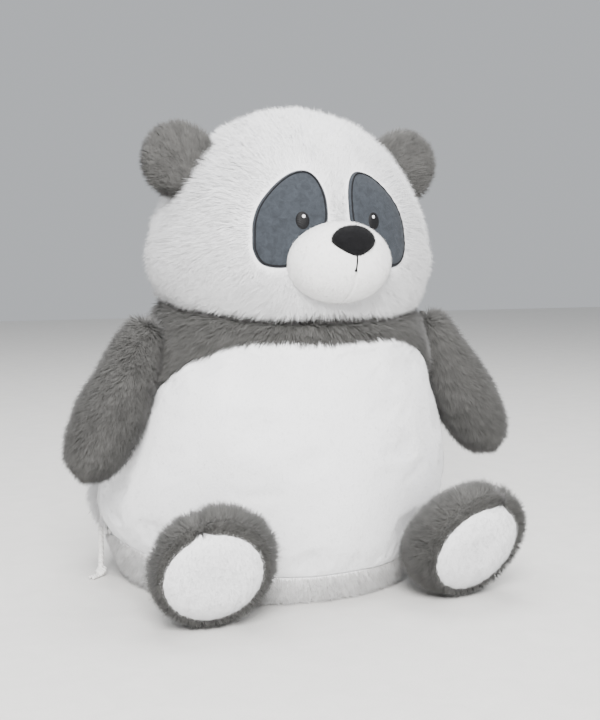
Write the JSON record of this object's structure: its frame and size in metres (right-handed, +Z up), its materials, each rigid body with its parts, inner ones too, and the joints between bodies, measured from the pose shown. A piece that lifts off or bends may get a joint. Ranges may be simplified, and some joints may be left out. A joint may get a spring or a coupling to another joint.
{
  "type": "plush panda",
  "caption": "Seated plush panda with long-pile white head, grey yoke, arms, legs and ears, white belly, weighted base and a zip round the back with a knotted pull cord.",
  "frame": {"origin": "centre of the round base, on the surface that the panda sits on", "axes": "+Z up, -Y the way the panda faces, -X the panda's right side"},
  "size_m": [0.3184, 0.2825, 0.3252],
  "materials": {
    "white_long_pile": "long soft white plush pile, about 10 mm",
    "grey_long_pile": "long soft grey plush pile, about 9 mm, streaky",
    "white_short_pile": "smooth short white plush",
    "white_base_pile": "white plush, brushed outwards at the base",
    "muzzle_velour": "white velour with a fine nap",
    "patch_suede": "blue-grey suede cloth",
    "dark_thread": "dark stitched thread",
    "black_thread": "black embroidery thread with a slight sheen",
    "white_thread": "white embroidery thread",
    "black_plush": "short black plush",
    "tab_cloth": "grey backing cloth, stitched",
    "fibre_filling": "soft polyester fibre",
    "pellet_bag_cotton": "cotton bag of pellets",
    "zip_tape": "woven white zip tape",
    "zip_coil": "white nylon coil",
    "zip_slider": "white painted zip slider",
    "pull_cord": "white braided cord"
  },
  "bodies": {
    "torso": {"base_panel": "white_base_pile", "belly_panel": "white_short_pile", "back_panel": "white_short_pile", "front_yoke": "grey_long_pile", "back_yoke": "grey_long_pile", "bean_bag": "pellet_bag_cotton", "body_filling": "fibre_filling", "zip_upper_tape": "zip_tape", "zip_lower_tape": "zip_tape", "zip_teeth": "zip_coil", "zip_end_stops": "zip_coil"},
    "neck": {"neck_filling": "fibre_filling"},
    "head": {"head_front_panel": "white_long_pile", "head_back_panel": "white_long_pile", "head_filling": "fibre_filling", "muzzle_cover": "muzzle_velour", "muzzle_filling": "fibre_filling", "nose": "black_plush", "mouth_stitch": "black_thread", "right_eye_patch": "patch_suede", "right_patch_stitching": "dark_thread", "right_eye": "black_thread", "right_eye_highlight": "white_thread", "left_eye_patch": "patch_suede", "left_patch_stitching": "dark_thread", "left_eye": "black_thread", "left_eye_highlight": "white_thread"},
    "right_ear": {"right_ear_front": "grey_long_pile", "right_ear_back": "grey_long_pile", "right_ear_filling": "fibre_filling"},
    "right_shoulder": {"right_shoulder_tab": "tab_cloth"},
    "right_arm": {"right_arm_cover": "grey_long_pile", "right_arm_filling": "fibre_filling"},
    "right_hip": {"right_hip_tab": "tab_cloth"},
    "right_leg": {"right_leg_cover": "grey_long_pile", "right_sole_pad": "white_short_pile", "right_leg_filling": "fibre_filling"},
    "left_ear": {"left_ear_front": "grey_long_pile", "left_ear_back": "grey_long_pile", "left_ear_filling": "fibre_filling"},
    "left_shoulder": {"left_shoulder_tab": "tab_cloth"},
    "left_arm": {"left_arm_cover": "grey_long_pile", "left_arm_filling": "fibre_filling"},
    "left_hip": {"left_hip_tab": "tab_cloth"},
    "left_leg": {"left_leg_cover": "grey_long_pile", "left_sole_pad": "white_short_pile", "left_leg_filling": "fibre_filling"},
    "zip_slider": {"zip_slider_body": "zip_slider", "zip_slider_eye": "zip_slider", "zip_pull_cord": "pull_cord", "zip_pull_knot": "pull_cord"}
  },
  "joints": [
    {"name": "head_turn", "type": "hinge", "parent": "torso", "child": "neck", "pos_m": [0, -0.043, 0.204], "axis": [0, -0.1392, 0.9903], "range_deg": [-12, 12], "stiffness_Nm_per_rad": 1},
    {"name": "head_nod", "type": "hinge", "parent": "neck", "child": "head", "pos_m": [0, -0.043, 0.204], "axis": [1, 0, 0], "range_deg": [-5, 5], "stiffness_Nm_per_rad": 4},
    {"name": "right_ear_bend", "type": "hinge", "parent": "head", "child": "right_ear", "pos_m": [-0.072, -0.056, 0.286], "axis": [0.6069, 0, 0.7948], "range_deg": [-25, 25], "stiffness_Nm_per_rad": 0.05},
    {"name": "right_arm_swing", "type": "hinge", "parent": "torso", "child": "right_shoulder", "pos_m": [-0.102, -0.052, 0.187], "axis": [-1, 0, 0], "range_deg": [0, 60], "stiffness_Nm_per_rad": 0.15},
    {"name": "right_arm_lift", "type": "hinge", "parent": "right_shoulder", "child": "right_arm", "pos_m": [-0.102, -0.052, 0.187], "axis": [0, 1, 0], "range_deg": [0, 70], "stiffness_Nm_per_rad": 0.15},
    {"name": "right_leg_splay", "type": "hinge", "parent": "torso", "child": "right_hip", "pos_m": [-0.078, -0.098, 0.038], "axis": [0, 0, -1], "range_deg": [-8, 15], "stiffness_Nm_per_rad": 0.3},
    {"name": "right_leg_lift", "type": "hinge", "parent": "right_hip", "child": "right_leg", "pos_m": [-0.078, -0.098, 0.038], "axis": [-1, 0, 0], "range_deg": [0, 25], "stiffness_Nm_per_rad": 0.3},
    {"name": "left_ear_bend", "type": "hinge", "parent": "head", "child": "left_ear", "pos_m": [0.072, -0.056, 0.286], "axis": [-0.6069, 0, 0.7948], "range_deg": [-25, 25], "stiffness_Nm_per_rad": 0.05},
    {"name": "left_arm_swing", "type": "hinge", "parent": "torso", "child": "left_shoulder", "pos_m": [0.102, -0.052, 0.187], "axis": [-1, 0, 0], "range_deg": [0, 60], "stiffness_Nm_per_rad": 0.15},
    {"name": "left_arm_lift", "type": "hinge", "parent": "left_shoulder", "child": "left_arm", "pos_m": [0.102, -0.052, 0.187], "axis": [0, -1, 0], "range_deg": [0, 70], "stiffness_Nm_per_rad": 0.15},
    {"name": "left_leg_splay", "type": "hinge", "parent": "torso", "child": "left_hip", "pos_m": [0.078, -0.098, 0.038], "axis": [0, 0, 1], "range_deg": [-8, 15], "stiffness_Nm_per_rad": 0.3},
    {"name": "left_leg_lift", "type": "hinge", "parent": "left_hip", "child": "left_leg", "pos_m": [0.078, -0.098, 0.038], "axis": [-1, 0, 0], "range_deg": [0, 25], "stiffness_Nm_per_rad": 0.3},
    {"name": "zip_slide", "type": "hinge", "parent": "torso", "child": "zip_slider", "pos_m": [0, 0, 0.036], "axis": [0, 0, 1], "range_deg": [-166, 0]}
  ]
}
